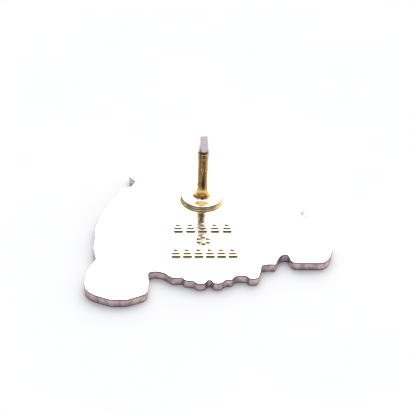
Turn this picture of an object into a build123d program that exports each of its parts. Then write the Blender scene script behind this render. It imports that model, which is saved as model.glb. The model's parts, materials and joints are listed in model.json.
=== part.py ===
from build123d import *
import math
import os

# An enamel lapel pin, lying face down. Millimetres. The origin is on the post's axis, on the
# front face. +Z runs out of the back along the post, and +X is to the right seen from the back.

# Plate
PLATE_THICKNESS = 1.0
CORNER_RADIUS = 0.12
RIM_WIDTH = 0.5
LINE_WIDTH = 0.26
CELL_DEPTH = 0.4
ENAMEL_DROP = 0.06

# Flower on the front: a round eye with stamens, and rings of round petals about it.
# Each ring has its petals, the radius of the petals' centres, and the radius of a petal.
FLOWER_CENTRE = (-0.45, -4.35)
EYE_RADIUS = 1.6
STAMENS = 6
STAMEN_RADIUS = 0.2
STAMEN_RING_RADIUS = 0.95
INNER_RING = (6, 3.2, 1.95)
MIDDLE_RING = (12, 6.4, 1.85)

# Fittings on the back
SOLDER_RADIUS = 2.3
SOLDER_THICKNESS = 0.06
PAD_RADIUS = 2.5
PAD_FLOOR = 0.2
PAD_RIM_ROLL = 0.21
DISH_BOW = 0.05
COLLAR_RADIUS = 1.2
COLLAR_HEIGHT = 1.2
COLLAR_LIP = 0.06
POST_RADIUS = 0.6
ROOT_RADIUS = 0.65
TIP_RADIUS = 0.58
POST_TIP_Z = 9.15
NAIL_HEAD_RADIUS = 1.1
NAIL_HEAD_THICKNESS = 0.12
# Four flats narrow the tip to a blunt square, each with a hollow run-out at its foot
TIP_WIDTH = 0.78
TIP_LENGTH = 1.55
FLAT_FOOT_RADIUS = 0.44
RUN_OUT_LENGTH = 0.5
RUN_OUT_BOW = 0.04
# Round retention grooves in the post: distance from the tip to the middle, width and depth
GROOVES = [(1.77, 0.42, 0.14), (2.47, 0.2, 0.07)]

PAD_Z = PLATE_THICKNESS + SOLDER_THICKNESS
NAIL_HEAD_TOP = PAD_Z + NAIL_HEAD_THICKNESS
DISH_Z = PAD_Z + PAD_FLOOR
COLLAR_TOP = DISH_Z + COLLAR_HEIGHT

# Raised ornament on the back, its sides sloped: two rows of buds, each two bars and a bead one
# above the other, and a rosette between the rows
MARK_HEIGHT = 0.25
MARK_DRAFT = 25
MARK_CENTRE = (-0.17, -8.15)
# Each row has its place above or below the middle, its number of buds and their pitch
MARK_ROWS = [(2.28, 5, 1.36), (-2.28, 6, 1.25)]
# Each bar has its length, its width and its place above or below the row's middle
BARS = [(1.12, 0.4, -0.62), (0.9, 0.46, -0.03)]
BEAD = (0.26, 0.56)
ROSETTE_PETALS = 6
ROSETTE_RADIUS = 0.58
ROSETTE_PETAL_RADIUS = 0.26

# The plate's outline, clockwise seen from the back. Each stretch has its end and how far it
# bows outwards from a straight line, or inwards if that is negative.
OUTLINE_START = (-2.40, 6.27)
TOP_AND_RIGHT = [
    (-1.80, 6.77, 0), (1.90, 6.76, 0), (3.40, 7.12, 0.08), (3.71, 6.48, 0), (4.94, 6.48, 0.10),
    (5.62, 5.86, 0), (6.62, 5.48, 0), (7.08, 5.05, 0.05), (7.15, 4.58, 0), (8.91, 3.19, -0.10),
    (9.20, 2.02, 0.15), (9.60, 1.53, 0), (10.53, 1.04, 0.12), (10.57, 0.07, 0),
    (11.32, -1.75, -0.05), (11.01, -2.99, 0.20), (11.34, -3.84, 0), (12.11, -5.43, 0.16),
]
RIGHT_LOBE = [
    (12.39, -6.17, 0), (13.77, -8.20, 0.10), (14.05, -9.10, 0.09), (13.57, -11.10, 0.08),
    (12.65, -12.15, 0.15), (10.01, -12.15, 0), (9.26, -11.70, 0.12), (9.02, -10.73, 0),
    (8.24, -10.81, -0.09), (7.52, -12.42, -0.06),
]
LOWER_EDGE = [
    (6.20, -12.47, -0.08), (5.93, -12.90, -0.06), (5.63, -14.26, 0.05), (5.13, -14.87, 0.14),
    (4.48, -14.83, 0), (4.18, -14.39, -0.07), (3.31, -14.34, 0), (2.62, -15.12, -0.12),
    (2.10, -15.05, 0), (1.51, -15.62, -0.08), (0.65, -15.63, 0.07), (0.40, -15.20, 0),
    (-0.04, -15.20, -0.09), (-0.32, -15.63, 0), (-1.24, -15.63, 0.10), (-1.55, -15.27, 0),
    (-2.46, -15.10, 0.03), (-2.77, -14.62, 0), (-3.75, -14.72, 0.03), (-4.59, -13.91, 0.05),
    (-5.66, -13.56, -0.06), (-6.32, -13.75, 0),
]
LEFT_LOBE = [
    (-6.43, -14.05, 0), (-6.49, -16.64, 0.05), (-6.83, -17.50, 0.05), (-8.00, -18.10, 0.03),
    (-8.76, -18.44, 0.03), (-10.40, -18.47, 0), (-12.16, -17.68, 0.02), (-13.20, -16.53, 0.12),
    (-13.13, -14.20, 0.12), (-12.26, -11.83, 0.12), (-12.05, -11.30, 0),
]
LEFT_SIDE = [
    (-12.32, -9.20, 0.06), (-12.12, -5.90, -0.05), (-11.72, -4.45, 0.05), (-11.68, -3.85, 0),
    (-11.12, -2.65, 0.03), (-10.95, -1.95, 0), (-10.45, -1.27, 0), (-10.10, -0.18, 0.06),
    (-9.65, 0.17, 0), (-9.18, 1.81, 0), (-8.09, 1.81, 0.17), (-7.52, 3.08, 0), (-8.17, 3.97, 0),
    (-7.99, 4.56, 0.05), (-6.49, 5.00, 0.08), (-5.85, 5.12, 0), (-5.50, 5.72, 0),
    (-3.42, 7.01, 0.12), (-2.61, 6.97, 0.03), (*OUTLINE_START, 0),
]

# Where the metal lines between the outer petals meet the edge or a leaf
PETAL_ENDS = [
    (3.71, 6.48), (7.12, 4.80), (9.40, 1.75), (10.85, -1.00), (11.02, -2.99), (10.30, -7.00),
    (8.60, -10.70), (6.05, -12.65), (3.00, -14.70), (0.20, -15.20), (-2.75, -14.70),
    (-6.35, -13.70), (-9.45, -12.65), (-12.05, -11.30), (-12.20, -6.40), (-10.60, -1.40),
    (-7.52, 3.08), (-5.79, 5.16), (-2.40, 6.27),
]
# A leaf's edge against the flower from end to end with its middle notch, and its midrib's end
LEAVES = {
    "right": ((11.02, -2.99), (10.30, -7.00), (8.60, -10.70), (13.50, -11.80)),
    "left": ((-6.35, -13.70), (-9.45, -12.65), (-12.05, -11.30), (-9.75, -18.30)),
}
LEAF_EDGE_BOW = 0.35
# A leaf's side veins leave its midrib this share of the way along, this long, at this slant
VEIN_START = 0.27
VEIN_LENGTH = 6.0
VEIN_SLANT = 50


def bowed(start, end, bow):
    """A straight edge, or an arc whose middle stands `bow` to the left of the way it runs."""
    if bow == 0:
        return Line(start, end)
    (x0, y0), (x1, y1) = start, end
    length = math.hypot(x1 - x0, y1 - y0)
    middle = ((x0 + x1) / 2 - (y1 - y0) / length * bow, (y0 + y1) / 2 + (x1 - x0) / length * bow)
    return ThreePointArc(start, middle, end)


def plate_outline():
    """The struck outline, with its sharp corners and notches slightly rounded."""
    edges = []
    start = OUTLINE_START
    for x, y, bow in TOP_AND_RIGHT + RIGHT_LOBE + LOWER_EDGE + LEFT_LOBE + LEFT_SIDE:
        edges.append(bowed(start, (x, y), bow))
        start = (x, y)
    grown = offset(make_face(edges), CORNER_RADIUS)
    return offset(offset(grown, -2 * CORNER_RADIUS), CORNER_RADIUS)


def metal_line(start, end, bow=0):
    return trace(bowed(start, end, bow), LINE_WIDTH)


def petal_ring(petals, centre_radius, petal_radius):
    """A ring of round petals, filled in to the flower's centre."""
    ring = Circle(centre_radius)
    for spot in PolarLocations(centre_radius, petals):
        ring += spot * Circle(petal_radius)
    return Pos(*FLOWER_CENTRE) * ring


def eye_cell():
    """The flower's round eye, with bare metal stamens standing in it."""
    cell = Circle(EYE_RADIUS)
    for spot in PolarLocations(STAMEN_RING_RADIUS, STAMENS):
        cell -= spot * Circle(STAMEN_RADIUS)
    return Pos(*FLOWER_CENTRE) * cell


def ring_cells(ring, hole):
    """The cells of one ring of petals, round the outline of what lies inside it."""
    petals, centre_radius, petal_radius = ring
    cells = petal_ring(petals, centre_radius, petal_radius - LINE_WIDTH) - hole
    reach = centre_radius + petal_radius
    for turn in range(petals):
        angle = math.radians((turn + 0.5) * 360 / petals)
        x, y = FLOWER_CENTRE
        end = (x + reach * math.cos(angle), y + reach * math.sin(angle))
        cells -= metal_line(FLOWER_CENTRE, end)
    return cells


def outer_cells(field, middle_ring):
    """The cells between the middle ring and the rim, cut by lines to the petals' ends."""
    cells = field - middle_ring
    for end in PETAL_ENDS:
        cells -= metal_line(FLOWER_CENTRE, end)
    for edge_start, notch, edge_end, _ in LEAVES.values():
        cells -= metal_line(edge_start, notch, LEAF_EDGE_BOW)
        cells -= metal_line(notch, edge_end, LEAF_EDGE_BOW)
    return cells


def part_way(start, end, share):
    return tuple(a + (b - a) * share for a, b in zip(start, end))


def leaf_cells(field, leaf):
    """The cells of one leaf, between its midrib and a pair of side veins."""
    _, notch, _, tip = leaf
    across, along = tip[0] - notch[0], tip[1] - notch[1]
    fork = part_way(notch, tip, VEIN_START)
    cells = field - metal_line(notch, tip)
    for slant in (VEIN_SLANT, -VEIN_SLANT):
        angle = math.atan2(along, across) + math.radians(slant)
        vein_end = (fork[0] + VEIN_LENGTH * math.cos(angle), fork[1] + VEIN_LENGTH * math.sin(angle))
        cells -= metal_line(fork, vein_end)
    return cells


def by_angle(faces):
    """Faces in order round the flower's centre, clockwise seen from the back, from the top."""
    def clockwise(face):
        x, y = face.center().X - FLOWER_CENTRE[0], face.center().Y - FLOWER_CENTRE[1]
        return math.atan2(x, y) % (2 * math.pi)
    return sorted(faces, key=clockwise)


def enamel_cells(outline):
    """Every enamel cell on the front, as a face with the name of its fill."""
    field = offset(outline, -RIM_WIDTH)
    groups = {"flower_eye": eye_cell().faces()}
    eye_wall = Pos(*FLOWER_CENTRE) * Circle(EYE_RADIUS + LINE_WIDTH)
    groups["inner_petal"] = ring_cells(INNER_RING, eye_wall).faces()
    groups["middle_petal"] = ring_cells(MIDDLE_RING, petal_ring(*INNER_RING)).faces()
    groups["outer_petal"] = outer_cells(field, petal_ring(*MIDDLE_RING)).faces()
    for side, leaf in LEAVES.items():
        middle = Vector(*part_way(leaf[1], leaf[3], 0.5))
        area = next(face for face in groups["outer_petal"] if face.is_inside(middle))
        groups["outer_petal"].remove(area)
        groups[f"{side}_leaf"] = leaf_cells(Sketch() + area, leaf).faces()
    cells = {}
    for group, faces in groups.items():
        for number, face in enumerate(by_angle(faces), 1):
            name = group if len(faces) == 1 else f"{group}_{number:02d}"
            cells[f"enamel_{name}"] = face
    return cells


def bud():
    """Two short bars with round ends, and a bead above them."""
    bead_radius, bead_y = BEAD
    shape = Sketch() + Pos(0, bead_y) * Circle(bead_radius)
    for length, width, y in BARS:
        shape += Pos(0, y) * SlotOverall(length, width)
    return shape


def back_marks():
    """The raised ornament below the post: two rows of buds and a rosette between them."""
    marks = Sketch()
    for row_y, buds, pitch in MARK_ROWS:
        for place in range(buds):
            marks += Pos((place - (buds - 1) / 2) * pitch, row_y) * bud()
    for spot in PolarLocations(ROSETTE_RADIUS, ROSETTE_PETALS, 30):
        marks += spot * Circle(ROSETTE_PETAL_RADIUS)
    return Pos(*MARK_CENTRE, PLATE_THICKNESS) * marks


def base_plate(outline, cells):
    plate = extrude(outline, PLATE_THICKNESS)
    plate -= [extrude(face, CELL_DEPTH, dir=(0, 0, 1)) for face in cells.values()]
    return plate + extrude(back_marks(), MARK_HEIGHT, taper=MARK_DRAFT)


def enamel_fill(face):
    return extrude(Pos(0, 0, ENAMEL_DROP) * face, CELL_DEPTH - ENAMEL_DROP, dir=(0, 0, 1))


def solder_layer():
    return Pos(0, 0, PLATE_THICKNESS) * extrude(Circle(SOLDER_RADIUS), SOLDER_THICKNESS)


def post_pad():
    """A shallow dish with a round rim, and a collar that flares round the post."""
    base = (PAD_RADIUS - PAD_RIM_ROLL, PAD_Z)
    side = (PAD_RADIUS, PAD_Z + PAD_RIM_ROLL)
    crest = (PAD_RADIUS - PAD_RIM_ROLL, PAD_Z + 2 * PAD_RIM_ROLL)
    lip = (POST_RADIUS + COLLAR_LIP, COLLAR_TOP)
    foot = (COLLAR_RADIUS, DISH_Z)
    flare = (lip[0] + (foot[0] - lip[0]) * 0.25, DISH_Z + COLLAR_HEIGHT * 0.25)
    profile = [
        Polyline(
            lip, (POST_RADIUS, COLLAR_TOP), (ROOT_RADIUS, NAIL_HEAD_TOP),
            (NAIL_HEAD_RADIUS, NAIL_HEAD_TOP), (NAIL_HEAD_RADIUS, PAD_Z), base,
        ),
        ThreePointArc(base, side, crest),
        bowed(crest, foot, DISH_BOW),
        ThreePointArc(foot, flare, lip),
    ]
    return revolve(Plane.XZ * make_face(profile), Axis.Z)


def beyond_flat():
    """What one flat of the tip cuts away."""
    base = POST_TIP_Z - TIP_LENGTH
    wide = 2 * POST_RADIUS
    foot = (FLAT_FOOT_RADIUS, base + RUN_OUT_LENGTH)
    profile = [
        bowed((POST_RADIUS, base), foot, RUN_OUT_BOW),
        Polyline(foot, (TIP_WIDTH / 2, POST_TIP_Z), (wide, POST_TIP_Z), (wide, base),
                 (POST_RADIUS, base)),
    ]
    return extrude(Plane.XZ * make_face(profile), wide, both=True)


def post():
    """A nail with a tapered root, two retention grooves and a tip cut by four flats."""
    root_top = (POST_RADIUS, COLLAR_TOP)
    profile = [Polyline(
        (0, PAD_Z), (NAIL_HEAD_RADIUS, PAD_Z), (NAIL_HEAD_RADIUS, NAIL_HEAD_TOP),
        (ROOT_RADIUS, NAIL_HEAD_TOP), root_top,
    )]
    start = root_top
    for below_tip, width, depth in reversed(GROOVES):
        low = (POST_RADIUS, POST_TIP_Z - below_tip - width / 2)
        high = (POST_RADIUS, POST_TIP_Z - below_tip + width / 2)
        profile += [Line(start, low), bowed(low, high, depth)]
        start = high
    profile.append(Polyline(start, (TIP_RADIUS, POST_TIP_Z), (0, POST_TIP_Z), (0, PAD_Z)))
    nail = revolve(Plane.XZ * make_face(profile), Axis.Z)
    return nail - [Rot(0, 0, 90 * turn) * beyond_flat() for turn in range(4)]


def main():
    os.makedirs("parts", exist_ok=True)
    outline = plate_outline()
    cells = enamel_cells(outline)
    nodes = {name: enamel_fill(face) for name, face in cells.items()}
    nodes["base_plate"] = base_plate(outline, cells)
    nodes["solder_layer"] = solder_layer()
    nodes["post_pad"] = post_pad()
    nodes["post"] = post()
    for name, shape in nodes.items():
        export_step(shape, f"parts/{name}.step")


main()
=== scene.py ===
import json
import math

import bmesh
import bpy
from mathutils import Matrix, Vector
from mathutils.geometry import delaunay_2d_cdt
from mathutils.kdtree import KDTree


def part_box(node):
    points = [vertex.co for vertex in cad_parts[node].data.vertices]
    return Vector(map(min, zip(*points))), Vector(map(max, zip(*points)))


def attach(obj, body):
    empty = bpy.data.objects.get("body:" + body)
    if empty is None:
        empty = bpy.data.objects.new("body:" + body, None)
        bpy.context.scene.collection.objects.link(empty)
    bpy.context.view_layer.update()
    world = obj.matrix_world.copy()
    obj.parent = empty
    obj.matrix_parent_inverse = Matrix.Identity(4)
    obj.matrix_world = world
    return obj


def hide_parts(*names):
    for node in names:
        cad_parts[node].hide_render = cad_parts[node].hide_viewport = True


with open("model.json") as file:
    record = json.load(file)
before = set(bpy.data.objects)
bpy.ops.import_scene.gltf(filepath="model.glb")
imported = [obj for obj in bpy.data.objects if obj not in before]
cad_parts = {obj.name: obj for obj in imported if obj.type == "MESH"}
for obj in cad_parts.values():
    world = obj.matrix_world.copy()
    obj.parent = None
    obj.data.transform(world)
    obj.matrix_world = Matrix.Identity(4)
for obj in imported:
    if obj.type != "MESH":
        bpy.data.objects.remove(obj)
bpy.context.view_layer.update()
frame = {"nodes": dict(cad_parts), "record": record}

MM = 0.001
BODY = "root"
# How close two of a CAD mesh's points are when they are one, and how near to a height its level faces are
WELD = 0.0005 * MM
LEVEL = 0.002 * MM
# The height of a CAD face's normal from which the face counts as level, and of a finished face's from
# which it is shaded flat
LEVEL_NORMAL = 0.99
FLAT_NORMAL = 0.99999
# An outline turns sharply where its edges' directions have less than this dot product
CORNER_COSINE = math.cos(math.radians(52))
# Where one edge is this many times its neighbour's length, it alone sets the direction between them
STRAIGHT_RATIO = 3
# The most that a smoothed curve turns from one of its edges to the next
FINEST_BEND = math.radians(7)
# The least divisor of a mitred corner's reach
MITRE_LIMIT = 0.4
# The output of Blender's triangulation that covers the whole hull of its points, and its tolerance
WHOLE_HULL = 0
TRIANGULATION_GAP = 1e-9
# How many sides a turned piece has, and how many steps a rounded edge has
SEGMENTS = 128
ROUNDING_STEPS = 3

# Sizes that the looks need and that the frame's boxes don't give, in millimetres and degrees
MARK_HEIGHT = 0.25
CELL_DEPTH = 0.4
BACK_ROUNDING = 0.05
FRONT_ROUNDING = 0.03
MARK_DRAFT = 25
MARK_ROUNDING = 0.04
MARK_FILLET = 0.03
ENAMEL_DROP = 0.06
ENAMEL_EDGE_DEPTH = 0.02
MENISCUS_WIDTH = 0.1
# How far in from its edge a fill's surface has rows of points, and how far apart they are further in
FILL_STEPS = (0.04, 0.09, 0.17, 0.28)
FILL_GRID = 0.4
EDGE_SAMPLING = MENISCUS_WIDTH / 4
# In shares of a row's distance from the edge: how far apart its points are, and how near to the edge
# they may come, and the grid's in shares of the last row's
ROW_SPACING = 1.5
ROW_CLEARANCE = 0.85
GRID_CLEARANCE = 1.3
SOLDER_WAIST = 0.03
PAD_RIM_ROLL = 0.21
PAD_FLOOR = 0.2
# How steeply the dish rises into its rim, and the powers of its curve and of the collar's
DISH_EDGE_SLOPE = 25
DISH_POWER = 2.2
COLLAR_POWER = 0.9
COLLAR_RADIUS = 1.2
COLLAR_LIP = 0.06
POST_RADIUS = 0.6
ROOT_RADIUS = 0.65
# Four flats narrow the post's tip to a blunt square, each with a hollow run-out at its foot
TIP_WIDTH = 0.78
TIP_LENGTH = 1.55
FLAT_FOOT_RADIUS = 0.44
RUN_OUT_LENGTH = 0.5
TIP_ROUNDING = 0.04
# How far apart the carved stretch's rings are, and how far inside the wire's round a flat's faces are
CARVED_STEP = 0.02
FLAT_CLEARANCE = 0.008
# Grooves in the post: distance from the tip to the middle, width and depth
GROOVES = [(1.77, 0.42, 0.14), (2.47, 0.2, 0.07)]
NAIL_HEAD_THICKNESS = 0.12

# The camera, in degrees and millimetres: where it looks from, the height in the pad of the point that
# it is placed by, where that point stands from the middle of its picture, and its focal length
CAMERA_AZIMUTH = 3.9
CAMERA_ELEVATION = 36.4
CAMERA_ROLL = 2.3
CAMERA_DISTANCE = 240.0
PAD_AIM = 0.19
PAD_RIGHT_OF_MIDDLE = -0.68
PAD_ABOVE_MIDDLE = 1.41
LENS = 182.8

# In metres: where the camera's view begins, the floor's side and how far it is below the pin
CLIP_START = 0.01
FLOOR_SIZE = 3.0
FLOOR_DROP = 0.02 * MM

# The room's light on the camera's side. Each light is laid over those before it: its direction, the
# dot products with it where the light begins and is full, and its colour. They are the far side, the
# dim band round the horizon, the right, the bluish ceiling, a dark place on the far left, the window
# that the plate mirrors, a dark place above the camera, and the ground past the floor.
NEAR_SIDE = (0.42, 0.40, 0.40)
LIGHTS = [
    ((0.25, 1, 0), -0.05, 0.1, (1.5, 1.5, 1.5)),
    ((0, 0, 1), 0.36, 0.12, (0.12, 0.11, 0.09)),
    ((0.85, 0.52, 0), 0.6, 0.9, (1.2, 1.15, 1.1)),
    ((0, -0.2, 0.98), 0.78, 0.92, (1.3, 1.45, 1.9)),
    ((-0.76, 0.60, 0.25), 0.90, 0.97, (0.06, 0.06, 0.04)),
    ((0.15, 0.80, 0.60), 0.80, 0.95, (3.5, 3.5, 3.5)),
    ((0.05, -0.80, 0.59), 0.90, 0.97, (0.03, 0.025, 0.02)),
    ((0, 0, -1), 0.15, 0.5, (0.9, 0.9, 0.9)),
]

# Heights and radii that the frame gives, in metres
PLATE_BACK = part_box("solder_layer")[0].z
PAD_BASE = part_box("post_pad")[0].z
PAD_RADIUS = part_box("post_pad")[1].x
COLLAR_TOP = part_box("post_pad")[1].z
POST_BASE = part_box("post")[0].z
POST_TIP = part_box("post")[1].z
NAIL_HEAD_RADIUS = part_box("post")[1].x


# Materials

class NodeTree:
    """A node tree, with short calls for the nodes used here."""

    def __init__(self, owner):
        owner.use_nodes = True
        self.nodes = owner.node_tree.nodes
        self.links = owner.node_tree.links

    def add(self, kind, **settings):
        node = self.nodes.new(kind)
        for key, value in settings.items():
            setattr(node, key, value)
        return node

    def link(self, source, target):
        self.links.new(source, target)

    def spread(self, value, low, high, new_low, new_high, shape="LINEAR"):
        """The value's range low to high, spread over new_low to new_high."""
        node = self.add("ShaderNodeMapRange", interpolation_type=shape)
        limits = {"From Min": low, "From Max": high, "To Min": new_low, "To Max": new_high}
        for name, number in limits.items():
            node.inputs[name].default_value = number
        self.link(value, node.inputs["Value"])
        return node.outputs["Result"]

    def math(self, operation, first, second=0):
        node = self.add("ShaderNodeMath", operation=operation)
        for socket, value in zip(node.inputs, (first, second)):
            if isinstance(value, (int, float)):
                socket.default_value = value
            else:
                self.link(value, socket)
        return node.outputs["Value"]

    def mix(self, factor, first, second):
        """Colour first where factor is 0, second where it is 1."""
        node = self.add("ShaderNodeMix", data_type="RGBA")
        if isinstance(factor, (int, float)):
            node.inputs["Factor"].default_value = factor
        else:
            self.link(factor, node.inputs["Factor"])
        for name, colour in (("A", first), ("B", second)):
            socket = next(s for s in node.inputs if s.name == name and s.type == "RGBA")
            if isinstance(colour, tuple):
                socket.default_value = (*colour, 1)
            else:
                self.link(colour, socket)
        return next(s for s in node.outputs if s.type == "RGBA")


class Shader(NodeTree):
    """A material's node tree, over the object's own coordinates."""

    def __init__(self, name):
        self.material = bpy.data.materials.new(name)
        super().__init__(self.material)
        self.bsdf = self.nodes["Principled BSDF"]

    def noise(self, scale, detail=4.0, stretch=(1, 1, 1)):
        """Noise over the object's own coordinates, with features about 1/scale metres wide."""
        place = self.add("ShaderNodeTexCoord")
        mapping = self.add("ShaderNodeMapping")
        mapping.inputs["Scale"].default_value = stretch
        texture = self.add("ShaderNodeTexNoise")
        texture.inputs["Scale"].default_value = scale
        texture.inputs["Detail"].default_value = detail
        self.link(place.outputs["Object"], mapping.inputs["Vector"])
        self.link(mapping.outputs["Vector"], texture.inputs["Vector"])
        return texture.outputs["Fac"]

    def bump(self, height, depth_mm, below=None):
        """The normals of a relief this deep, over the normals below."""
        node = self.add("ShaderNodeBump")
        node.inputs["Distance"].default_value = depth_mm * MM
        self.link(height, node.inputs["Height"])
        if below:
            self.link(below, node.inputs["Normal"])
        return node.outputs["Normal"]

    def facing_up(self):
        """1 where the surface lies flat, 0 where it stands upright."""
        geometry = self.add("ShaderNodeNewGeometry")
        parts = self.add("ShaderNodeSeparateXYZ")
        self.link(geometry.outputs["Normal"], parts.inputs["Vector"])
        return self.spread(self.math("ABSOLUTE", parts.outputs["Z"]), 0.5, 0.9, 0, 1)

    def place(self):
        """The object coordinates' X, Y and Z sockets."""
        place = self.add("ShaderNodeTexCoord")
        parts = self.add("ShaderNodeSeparateXYZ")
        self.link(place.outputs["Object"], parts.inputs["Vector"])
        return parts.outputs

    def height(self, low, high, low_value=0, high_value=1):
        """A value that goes from low_value to high_value between two heights in metres."""
        return self.spread(self.place()["Z"], low, high, low_value, high_value)

    def from_axis(self):
        """The distance from the post's axis in metres."""
        place = self.place()
        squares = [self.math("POWER", place[axis], 2) for axis in "XY"]
        return self.math("SQRT", self.math("ADD", *squares))

    def finish(self, colour, roughness, normal=None, **sockets):
        """The material, with these sources and with plain values for its other sockets."""
        for value, name in ((colour, "Base Color"), (roughness, "Roughness"), (normal, "Normal")):
            if value is not None:
                self.link(value, self.bsdf.inputs[name])
        for name, value in sockets.items():
            self.bsdf.inputs[name.replace("_", " ")].default_value = value
        return self.material


def plate_metal():
    """Bright pale plating on the flat faces, mottled taupe on the cut edge, gold round the marks."""
    s = Shader("plate_metal")
    flat = s.facing_up()
    upright = s.math("SUBTRACT", 1, flat)
    streaks = s.noise(5200, 4, stretch=(1, 1, 0.12))
    mottle = s.noise(1700, 3, stretch=(1, 1, 0.6))
    cloud = s.noise(500, 3)
    grain = s.noise(14000, 2)
    edge = s.mix(s.spread(mottle, 0.3, 0.7, 0, 1), (0.38, 0.27, 0.26), (0.80, 0.63, 0.61))
    edge = s.mix(s.height(PLATE_BACK, PLATE_BACK + 0.02 * MM), edge, (0.55, 0.42, 0.16))
    face = s.mix(s.spread(cloud, 0.35, 0.65, 0, 1), (0.97, 0.95, 0.89), (0.95, 0.93, 0.86))
    colour = s.mix(flat, edge, face)
    # Painted shade on the edge: a dark band under the back's corner and a painted contact shadow at its
    # foot
    below_back = s.height(PLATE_BACK - 0.20 * MM, PLATE_BACK - 0.12 * MM)
    up_to_back = s.height(PLATE_BACK - 0.004 * MM, PLATE_BACK - 0.001 * MM, 1, 0)
    painted_contact_shadow = s.height(0.04 * MM, 0.2 * MM, 0.85, 0)
    painted_edge_shade = s.math("ADD", s.math("MULTIPLY", below_back, up_to_back), painted_contact_shadow)
    colour = s.mix(s.math("MULTIPLY", painted_edge_shade, upright), colour, (0.14, 0.09, 0.08))
    smooth = s.spread(cloud, 0.3, 0.7, 0.06, 0.09)
    brushed = s.spread(streaks, 0.3, 0.7, 0.26, 0.42)
    roughness = s.add("ShaderNodeMix", data_type="FLOAT")
    s.link(flat, roughness.inputs["Factor"])
    s.link(brushed, roughness.inputs["A"])
    s.link(smooth, roughness.inputs["B"])
    normal = s.bump(s.math("MULTIPLY", streaks, upright), 0.008)
    normal = s.bump(grain, 0.006, below=normal)
    return s.finish(colour, roughness.outputs["Result"], normal, Metallic=1.0)


def brass(name, light, painted_edge_shade, smooth, rough, streak):
    """Polished brass with a slight tarnish: its shader, colour, roughness and normals. Its fine lines
    are stretched along the axes where `streak` is small."""
    s = Shader(name)
    tarnish = s.noise(700, 5)
    lines = s.noise(12000, 2, stretch=streak)
    colour = s.mix(s.spread(tarnish, 0.3, 0.7, 0, 1), light, painted_edge_shade)
    return s, colour, s.spread(lines, 0.3, 0.7, smooth, rough), s.bump(lines, 0.006)


def pad_brass():
    """Polished brass, painted paler on its level faces, a painted highlight as in the hollow of the dish.
    """
    light, painted_edge_shade = (0.74, 0.47, 0.18), (0.62, 0.38, 0.13)
    s, colour, roughness, normal = brass("pad_brass", light, painted_edge_shade, 0.05, 0.09, (1, 1, 1))
    # Painted highlight: the level faces are painted paler
    colour = s.mix(s.facing_up(), colour, (0.92, 0.85, 0.68))
    return s.finish(colour, roughness, normal, Metallic=1.0)


def post_brass():
    """Drawn brass wire with dark tarnish streaks, painted shade in its grooves and painted glints."""
    light, painted_edge_shade = (0.68, 0.45, 0.23), (0.44, 0.28, 0.13)
    s, colour, roughness, normal = brass("post_brass", light, painted_edge_shade, 0.12, 0.24, (1, 1, 0.03))
    streaks = s.noise(5000, 3, stretch=(1, 1, 0.04))
    colour = s.mix(s.spread(streaks, 0.5, 0.62, 0, 0.75), colour, (0.20, 0.12, 0.05))
    # Painted glints: small pale specks on the wire
    painted_glints = s.spread(s.noise(4500, 1, stretch=(1, 1, 0.5)), 0.68, 0.72, 0, 1)
    colour = s.mix(painted_glints, colour, (0.95, 0.88, 0.82))
    # Painted shade: the grooves are painted near black
    painted_groove_shade = s.spread(s.from_axis(), (POST_RADIUS - 0.12) * MM, (POST_RADIUS - 0.05) * MM, 0, 1)
    colour = s.mix(painted_groove_shade, (0.10, 0.07, 0.035), colour)
    return s.finish(colour, roughness, normal, Metallic=1.0)


def cut_metal():
    """The cut tip: its flats painted lavender-white, a painted reflection, and a duller, darker end."""
    s = Shader("cut_metal")
    grind = s.noise(9000, 3, stretch=(1, 1, 0.3))
    # Painted reflection: the cut flats are painted near-white lavender, as the pale floor looks mirrored
    # in them
    flats = s.mix(s.spread(grind, 0.3, 0.7, 0, 1), (0.92, 0.77, 0.86), (1.0, 0.90, 0.96))
    end = s.mix(s.spread(grind, 0.35, 0.65, 0, 1), (0.22, 0.16, 0.15), (0.46, 0.39, 0.45))
    colour = s.mix(s.facing_up(), flats, end)
    return s.finish(colour, s.spread(grind, 0.3, 0.7, 0.45, 0.65), s.bump(grind, 0.01), Metallic=0.3)


def solder_metal():
    """Grey solder, lumpy and half bright."""
    s = Shader("solder_metal")
    lumps = s.noise(1500, 4)
    colour = s.mix(s.spread(lumps, 0.3, 0.7, 0, 1), (0.55, 0.55, 0.58), (0.70, 0.70, 0.72))
    return s.finish(colour, s.spread(lumps, 0.3, 0.7, 0.25, 0.45), s.bump(lumps, 0.02), Metallic=1.0)


def enamel(name, colour, deep):
    """Glossy soft enamel: slightly uneven colour, and a surface that isn't quite level."""
    s = Shader(name)
    cloud = s.noise(450, 4)
    level = s.noise(260, 2)
    mixed = s.mix(s.spread(cloud, 0.3, 0.7, 0, 1), colour, deep)
    roughness = s.spread(cloud, 0.3, 0.7, 0.08, 0.16)
    return s.finish(mixed, roughness, s.bump(level, 0.03), Coat_Weight=0.4, Coat_Roughness=0.05)


def pale_floor():
    """Matt, pale and very slightly uneven."""
    s = Shader("pale_floor")
    grain = s.noise(60, 4)
    colour = s.mix(s.spread(grain, 0.3, 0.7, 0, 1), (0.79, 0.775, 0.72), (0.80, 0.785, 0.73))
    return s.finish(colour, s.spread(grain, 0.3, 0.7, 0.9, 1.0), Specular_IOR_Level=0.0)


# Meshes

def add_piece(name, bm, materials, node, sharp_angle):
    """Makes the mesh, smooth but for its level faces, a piece that stands for its CAD node."""
    bmesh.ops.recalc_face_normals(bm, faces=bm.faces)
    mesh = bpy.data.meshes.new(name)
    bm.to_mesh(mesh)
    bm.free()
    for material in materials:
        mesh.materials.append(material)
    mesh.set_sharp_from_angle(angle=math.radians(sharp_angle))
    for face in mesh.polygons:
        face.use_smooth = abs(face.normal.z) < FLAT_NORMAL
    piece = bpy.data.objects.new(name, mesh)
    bpy.context.scene.collection.objects.link(piece)
    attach(piece, BODY)
    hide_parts(node)


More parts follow.
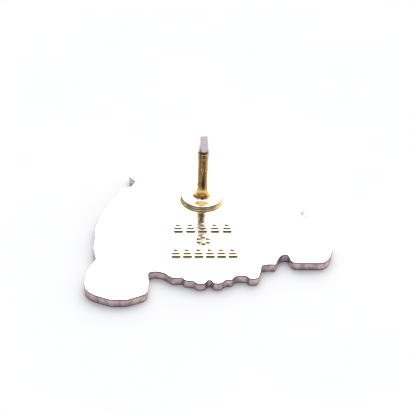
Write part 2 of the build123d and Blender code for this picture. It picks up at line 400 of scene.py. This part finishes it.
def outlines(node, height):
    """The outlines of a CAD node's flat faces at a height in metres, the material on their left."""
    bm = bmesh.new()
    bm.from_mesh(frame["nodes"][node].data)
    bmesh.ops.remove_doubles(bm, verts=bm.verts, dist=WELD)

    def is_level(face):
        return abs(face.normal.z) > LEVEL_NORMAL and abs(face.calc_center_median().z - height) < LEVEL

    after = {}
    for face in filter(is_level, bm.faces):
        for corner in face.loops:
            if not any(is_level(other) for other in corner.edge.link_faces if other is not face):
                ends = corner.vert, corner.link_loop_next.vert
                start, end = ends if face.normal.z > 0 else reversed(ends)
                after[start] = end
    found = []
    while after:
        vert = next(iter(after))
        outline = []
        while vert in after:
            outline.append(vert.co.xy)
            vert = after.pop(vert)
        found.append(smoothed(outline))
    bm.free()
    return found


def tangents(before, after):
    """The outline's directions into and out of a point between two edges, which are equal on a curve."""
    if before.normalized().dot(after.normalized()) < CORNER_COSINE:
        return before.normalized(), after.normalized()
    if before.length > STRAIGHT_RATIO * after.length:
        way = before
    elif after.length > STRAIGHT_RATIO * before.length:
        way = after
    else:
        way = before / before.length ** 2 + after / after.length ** 2
    return way.normalized(), way.normalized()


def smoothed(outline):
    """The outline with its coarse arcs divided into finer ones."""
    edges = [end - start for start, end in zip(outline, outline[1:] + outline[:1])]
    turns = [tangents(before, after) for before, after in zip(edges[-1:] + edges[:-1], edges)]
    points = []
    for start, edge, (_, leaving), (arriving, _) in zip(outline, edges, turns, turns[1:] + turns[:1]):
        bend = leaving.angle(arriving)
        pieces = max(1, math.ceil(bend / FINEST_BEND))
        for k in range(pieces):
            t = k / pieces
            rise = t * t * (3 - 2 * t)
            points.append(start + edge * rise
                          + leaving * (edge.length * t * (1 - t) ** 2)
                          - arriving * (edge.length * t * t * (1 - t)))
    return points


def inset(outline, distance):
    """The outline moved to its left, with its sharp corners' reach limited."""
    edges = [(end - start).normalized() for start, end in zip(outline, outline[1:] + outline[:1])]
    moved = []
    for point, before, after in zip(outline, edges[-1:] + edges[:-1], edges):
        across = Vector((-before.y - after.y, before.x + after.x))
        moved.append(point + across * (distance / max(1 + before.dot(after), MITRE_LIMIT)))
    return moved


def wall(bm, outline, steps):
    """Rings of an outline, each an inset and a height in metres, joined by strips. Returns the rings."""
    rings = []
    for distance, height in steps:
        rings.append([bm.verts.new((*point, height)) for point in inset(outline, distance)])
    for low, high in zip(rings, rings[1:]):
        for a, b, c, d in zip(low, low[1:] + low[:1], high[1:] + high[:1], high):
            bm.faces.new((a, b, c, d))
    return rings


def enclosed(triangles, walls):
    """The triangles that an odd number of outlines enclose, given the edges the outlines run along."""
    sides = {triangle: [frozenset(pair) for pair in zip(triangle, triangle[1:] + triangle[:1])]
             for triangle in triangles}
    beside = {}
    for triangle, pairs in sides.items():
        for pair in pairs:
            beside.setdefault(pair, []).append(triangle)
    inside = {}
    ahead = [(found[0], pair in walls) for pair, found in beside.items() if len(found) == 1]
    while ahead:
        triangle, state = ahead.pop()
        if triangle not in inside:
            inside[triangle] = state
            ahead += [(other, state != (pair in walls)) for pair in sides[triangle]
                      for other in beside[pair]]
    return [triangle for triangle in sides if inside[triangle]]


def cap(bm, rings, depth=None, extra=()):
    """A face with these rings as its outlines and holes. The points that it adds have the heights that
    depth gives, or else the first ring's."""
    verts = [vert for ring in rings for vert in ring]
    edges = []
    for ring in rings:
        first = len(edges)
        edges += [(first + k, first + (k + 1) % len(ring)) for k in range(len(ring))]
    flat = [vert.co.xy for vert in verts] + list(extra)
    points, joined, triangles, origins, drawn, _ = delaunay_2d_cdt(
        flat, edges, [], WHOLE_HULL, TRIANGULATION_GAP)
    walls = {frozenset(pair) for pair, found in zip(joined, drawn) if found}
    made = {}
    for triangle in enclosed([tuple(triangle) for triangle in triangles], walls):
        for corner in triangle:
            if corner in made:
                continue
            origin = min(origins[corner], default=len(verts))
            if origin < len(verts):
                made[corner] = verts[origin]
            else:
                height = depth(points[corner]) if depth else verts[0].co.z
                made[corner] = bm.verts.new((*points[corner], height))
        corners = [made[corner] for corner in triangle]
        if len(set(corners)) == 3:
            bm.faces.new(corners)


def rounding(radius, level, side):
    """Steps of a rounded edge from the wall to a face at this level: side is 1 for an upper face."""
    angles = [math.radians(90) * k / ROUNDING_STEPS for k in range(ROUNDING_STEPS + 1)]
    return [(radius * MM * (1 - math.cos(a)), level - side * radius * MM * (1 - math.sin(a)))
            for a in angles]


def lathe(profile):
    """A closed or axis-to-axis profile of (radius, height) in metres, turned about the post's axis."""
    return loft([(height, lambda turn, radius=radius: radius) for radius, height in profile])


def loft(sections):
    """Rings about the post's axis, each at a height with its radius as a function of the turn."""
    bm = bmesh.new()
    turns = [2 * math.pi * k / SEGMENTS for k in range(SEGMENTS)]
    rings = []
    for height, radius in sections:
        if radius(0) == 0:
            rings.append([bm.verts.new((0, 0, height))])
            continue
        rings.append([bm.verts.new((radius(t) * math.cos(t), radius(t) * math.sin(t), height))
                      for t in turns])
    closed = sections[0][1](0) > 0
    for first, second in zip(rings, rings[1:] + rings[:1] if closed else rings[1:]):
        for k in range(SEGMENTS):
            after = (k + 1) % SEGMENTS
            corners = [first[k % len(first)], first[after % len(first)],
                       second[after % len(second)], second[k % len(second)]]
            bm.faces.new(list(dict.fromkeys(corners)))
    return bm


def arc(centre, radius, start, end, steps):
    """Points (radius, height) in millimetres round a centre, from one angle to another."""
    angles = [math.radians(start + (end - start) * k / steps) for k in range(steps + 1)]
    return [(centre[0] + radius * math.cos(a), centre[1] + radius * math.sin(a)) for a in angles]


def in_metres(profile, base):
    """A profile in millimetres above a base, as one in metres."""
    return [(r * MM, base + z * MM) for r, z in profile]


# Pieces

def make_plate(metal):
    """The struck plate: rounded rims, raised marks on the back and open cells on the front."""
    bm = bmesh.new()
    back, front = PLATE_BACK, 0.0
    mark_top = back + MARK_HEIGHT * MM
    outline = max(outlines("base_plate", back), key=len)
    rings = wall(bm, outline, rounding(FRONT_ROUNDING, front, -1)[::-1] + rounding(BACK_ROUNDING, back, 1))
    front_rings, back_rings, floor_rings = [rings[0]], [rings[-1]], []
    for mark in outlines("base_plate", mark_top):
        rings = wall(bm, mark, mark_side(back, mark_top))
        back_rings.append(rings[0])
        cap(bm, [rings[-1]])
    for cell in outlines("base_plate", CELL_DEPTH * MM):
        mouth = [(-distance, height) for distance, height in rounding(FRONT_ROUNDING, front, -1)][::-1]
        rings = wall(bm, cell, mouth + [(0, CELL_DEPTH * MM)])
        front_rings.append(rings[0])
        floor_rings.append(rings[-1])
    for group in (front_rings, floor_rings, back_rings):
        cap(bm, group)
    add_piece("plate", bm, [metal], "base_plate", sharp_angle=40)


def mark_side(foot, top):
    """Steps up a mark's sloped side from its filleted foot to its rounded top, as insets of the top's
    outline and heights."""
    spread = math.tan(math.radians(MARK_DRAFT)) * (top - foot)
    fillet_share, rounding_share = 1 / 4, 1 / 6
    rounding_start = spread / 8
    sides = []
    for k in range(ROUNDING_STEPS):
        left = 1 - k / ROUNDING_STEPS
        share = fillet_share * (1 - left)
        sides.append((-MARK_FILLET * MM * left ** 2 - spread * (1 - share), share))
    for k in range(ROUNDING_STEPS + 1):
        left = 1 - k / ROUNDING_STEPS
        sides.append((MARK_ROUNDING * MM * (1 - left) ** 2 - rounding_start * left,
                      1 - rounding_share * left ** 2))
    return [(distance, foot + (top - foot) * share) for distance, share in sides]


def make_fill(node, material):
    """An enamel fill whose surface climbs the metal round its edge."""
    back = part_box(node)[1].z
    bm = bmesh.new()
    edge_rings, back_rings, extra = [], [], []
    sides = outlines(node, back)
    samples = [point for side in sides for point in spaced(side, EDGE_SAMPLING * MM)]
    near = KDTree(len(samples))
    for k, point in enumerate(samples):
        near.insert((*point, 0), k)
    near.balance()

    def from_edge(point):
        return near.find((*point, 0))[2]

    def depth(point):
        climb = (ENAMEL_DROP - ENAMEL_EDGE_DEPTH) * math.exp(-from_edge(point) / (MENISCUS_WIDTH * MM))
        return (ENAMEL_DROP - climb) * MM

    for side in sides:
        rings = wall(bm, side, [(0, ENAMEL_EDGE_DEPTH * MM), (0, back)])
        edge_rings.append(rings[0])
        back_rings.append(rings[1])
        for step in FILL_STEPS:
            row = inset(spaced(side, ROW_SPACING * step * MM), step * MM)
            extra += [point for point in row if from_edge(point) > ROW_CLEARANCE * step * MM]
    extra += [point for point in grid_over(max(sides, key=len))
              if from_edge(point) > GRID_CLEARANCE * FILL_STEPS[-1] * MM]
    cap(bm, edge_rings, depth, extra)
    cap(bm, back_rings)
    add_piece(node.replace("enamel", "fill"), bm, [material], node, sharp_angle=50)


def spaced(outline, longest):
    """The outline with extra points, so that no two are further apart than this."""
    points = []
    for start, end in zip(outline, outline[1:] + outline[:1]):
        pieces = math.ceil((end - start).length / longest)
        points += [start.lerp(end, k / pieces) for k in range(pieces)]
    return points


def grid_over(outline):
    """Points of a staggered grid over the outline's box."""
    step = FILL_GRID * MM
    low_x, high_x = min(p.x for p in outline), max(p.x for p in outline)
    low_y, high_y = min(p.y for p in outline), max(p.y for p in outline)
    rows, columns = math.ceil((high_y - low_y) / step), math.ceil((high_x - low_x) / step)
    return [Vector((low_x + (column + row % 2 / 2) * step, low_y + row * step))
            for row in range(rows) for column in range(columns)]


def make_fills():
    """Every enamel fill in the record, in the colour of its material slot."""
    looks = {
        "enamel_eye": enamel("enamel_eye", (0.83, 0.42, 0.03), (0.72, 0.32, 0.02)),
        "enamel_inner": enamel("enamel_inner", (0.90, 0.62, 0.50), (0.85, 0.54, 0.42)),
        "enamel_middle": enamel("enamel_middle", (0.82, 0.24, 0.19), (0.74, 0.19, 0.15)),
        "enamel_outer": enamel("enamel_outer", (0.50, 0.035, 0.06), (0.40, 0.02, 0.045)),
        "enamel_leaf": enamel("enamel_leaf", (0.015, 0.16, 0.075), (0.01, 0.11, 0.05)),
    }
    for part in frame["record"]["subparts"]:
        slot = part["material_slot"]
        if slot in looks:
            make_fill(part["node"], looks[slot])


def make_solder(metal):
    """The disc of solder, whose edge draws in between the plate and the pad."""
    low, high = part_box("solder_layer")
    radius = high.x / MM
    waist = radius - SOLDER_WAIST
    thickness = (high.z - low.z) / MM
    profile = [(0, 0), (radius, 0), (waist, thickness / 2), (radius, thickness), (0, thickness)]
    bm = lathe(in_metres(profile, low.z))
    add_piece("solder", bm, [metal], "solder_layer", sharp_angle=30)


def make_pad(metal):
    """The dish that carries the post: rolled rim, hollow floor and a collar that flares up."""
    radius = PAD_RADIUS / MM
    head = NAIL_HEAD_RADIUS / MM
    top = (COLLAR_TOP - PAD_BASE) / MM
    lip = POST_RADIUS + COLLAR_LIP
    profile = [(ROOT_RADIUS, NAIL_HEAD_THICKNESS), (head, NAIL_HEAD_THICKNESS), (head, 0)]
    rim = (radius - PAD_RIM_ROLL, PAD_RIM_ROLL)
    profile += arc(rim, PAD_RIM_ROLL, -90, 90 + DISH_EDGE_SLOPE, steps=32)
    edge_radius, edge_height = profile[-1]
    dish_steps, collar_steps = 16, 32
    for k in range(1, dish_steps):
        share = k / dish_steps
        profile.append((edge_radius + (COLLAR_RADIUS - edge_radius) * share,
                        PAD_FLOOR + (edge_height - PAD_FLOOR) * (1 - share) ** DISH_POWER))
    for k in range(collar_steps + 1):
        turn = math.radians(90 * k / collar_steps)
        profile.append((COLLAR_RADIUS - (COLLAR_RADIUS - lip) * math.sin(turn) ** COLLAR_POWER,
                        PAD_FLOOR + (top - PAD_FLOOR) * (1 - math.cos(turn))))
    profile.append((POST_RADIUS, top))
    bm = lathe(in_metres(profile, PAD_BASE))
    add_piece("pad", bm, [metal], "post_pad", sharp_angle=40)


def post_radius(height):
    """The post's radius at a height in millimetres from its head, before the flats are cut."""
    below_tip = (POST_TIP - POST_BASE) / MM - height
    collar = (COLLAR_TOP - POST_BASE) / MM
    radius = POST_RADIUS + (ROOT_RADIUS - POST_RADIUS) * max(0, 1 - height / collar)
    for middle, width, depth in GROOVES:
        off = abs(below_tip - middle)
        if off < width / 2:
            bend = (width ** 2 / 4 + depth ** 2) / (2 * depth)
            radius -= math.sqrt(bend ** 2 - off ** 2) - bend + depth
    return radius


def flat_distance(height):
    """How far the tip's flats are from the axis at a height, or None below them."""
    up = height - ((POST_TIP - POST_BASE) / MM - TIP_LENGTH)
    if up < 0:
        return None
    if up < RUN_OUT_LENGTH:
        share = 1 - up / RUN_OUT_LENGTH
        return FLAT_FOOT_RADIUS + (POST_RADIUS - FLAT_FOOT_RADIUS) * share ** 2
    share = (up - RUN_OUT_LENGTH) / (TIP_LENGTH - RUN_OUT_LENGTH)
    return FLAT_FOOT_RADIUS + (TIP_WIDTH / 2 - FLAT_FOOT_RADIUS) * share


def post_section(height):
    """The post's radius in metres at this height, as a function of the turn."""
    radius, flat = post_radius(height), flat_distance(height)

    def at(turn):
        if flat is None:
            return radius * MM
        return min(radius, flat / max(abs(math.cos(turn)), abs(math.sin(turn)))) * MM
    return at


def make_post(wire, bare):
    """The nail, as rings close together where the grooves and the tip's flats are."""
    tip = (POST_TIP - POST_BASE) / MM
    carved_from = tip - GROOVES[-1][0] - GROOVES[-1][1]
    carved_length = tip - TIP_ROUNDING - carved_from
    heights = [NAIL_HEAD_THICKNESS, (COLLAR_TOP - POST_BASE) / MM]
    steps = math.ceil(carved_length / CARVED_STEP)
    heights += [carved_from + carved_length * k / steps for k in range(steps + 1)]
    head = [(0, 0), (0, NAIL_HEAD_RADIUS), (NAIL_HEAD_THICKNESS, NAIL_HEAD_RADIUS)]
    sections = [(POST_BASE + z * MM, lambda turn, r=r: r) for z, r in head]
    sections += [(POST_BASE + z * MM, post_section(z)) for z in heights]
    rim = post_section(tip)
    for k in range(1, ROUNDING_STEPS + 1):
        a = math.radians(90 * k / ROUNDING_STEPS)
        sections.append((POST_TIP - TIP_ROUNDING * MM * (1 - math.sin(a)),
                         lambda turn, a=a: rim(turn) - TIP_ROUNDING * MM * (1 - math.cos(a))))
    sections.append((POST_TIP, lambda turn: 0))
    bm = loft(sections)
    for face in bm.faces:
        x, y, z = face.calc_center_median()
        height = (z - POST_BASE) / MM
        within_wire = math.hypot(x, y) / MM < post_radius(height) - FLAT_CLEARANCE
        if within_wire and flat_distance(height) is not None:
            face.material_index = 1
    add_piece("nail", bm, [wire, bare], "post", sharp_angle=25)


# Stage

def make_floor():
    """A plain square floor just under the pin."""
    bm = bmesh.new()
    bmesh.ops.create_grid(bm, x_segments=8, y_segments=8, size=FLOOR_SIZE / 2)
    mesh = bpy.data.meshes.new("floor")
    bm.to_mesh(mesh)
    bm.free()
    mesh.materials.append(pale_floor())
    floor = bpy.data.objects.new("floor", mesh)
    floor.location.z = -FLOOR_DROP
    bpy.context.scene.collection.objects.link(floor)


def light_room():
    """The room that lights the pin and shows in its metal."""
    world = bpy.data.worlds.new("room")
    bpy.context.scene.world = world
    room = NodeTree(world)
    way = room.add("ShaderNodeTexCoord")

    def towards(direction, low, high):
        dot = room.add("ShaderNodeVectorMath", operation="DOT_PRODUCT")
        dot.inputs[1].default_value = Vector(direction).normalized()
        room.link(way.outputs["Generated"], dot.inputs[0])
        return room.spread(dot.outputs["Value"], low, high, 0, 1, "SMOOTHSTEP")

    colour = NEAR_SIDE
    for *light, light_colour in LIGHTS:
        colour = room.mix(towards(*light), colour, light_colour)
    room.link(colour, room.nodes["Background"].inputs["Color"])


def make_camera():
    """The camera, looking down at the pin's back with the post leaning to the right."""
    azimuth = math.radians(CAMERA_AZIMUTH)
    elevation = math.radians(CAMERA_ELEVATION)
    roll = math.radians(CAMERA_ROLL)
    ahead = math.cos(elevation)
    forward = Vector((math.sin(azimuth) * ahead, math.cos(azimuth) * ahead, -math.sin(elevation)))
    level_right = Vector((math.cos(azimuth), -math.sin(azimuth), 0))
    level_up = level_right.cross(forward)
    right = level_right * math.cos(roll) + level_up * math.sin(roll)
    up = level_up * math.cos(roll) - level_right * math.sin(roll)
    pad = Vector((0, 0, PAD_BASE + PAD_AIM * MM))
    shift = right * PAD_RIGHT_OF_MIDDLE + up * PAD_ABOVE_MIDDLE
    data = bpy.data.cameras.new("camera")
    data.lens = LENS
    data.clip_start = CLIP_START
    camera = bpy.data.objects.new("camera", data)
    turn = Matrix((right, up, -forward)).transposed().to_4x4()
    camera.matrix_world = Matrix.Translation(pad - (forward * CAMERA_DISTANCE + shift) * MM) @ turn
    bpy.context.scene.collection.objects.link(camera)
    bpy.context.scene.camera = camera


bpy.context.scene.view_settings.view_transform = "Standard"
make_camera()
light_room()
make_floor()
make_plate(plate_metal())
make_fills()
make_solder(solder_metal())
make_pad(pad_brass())
make_post(post_brass(), cut_metal())
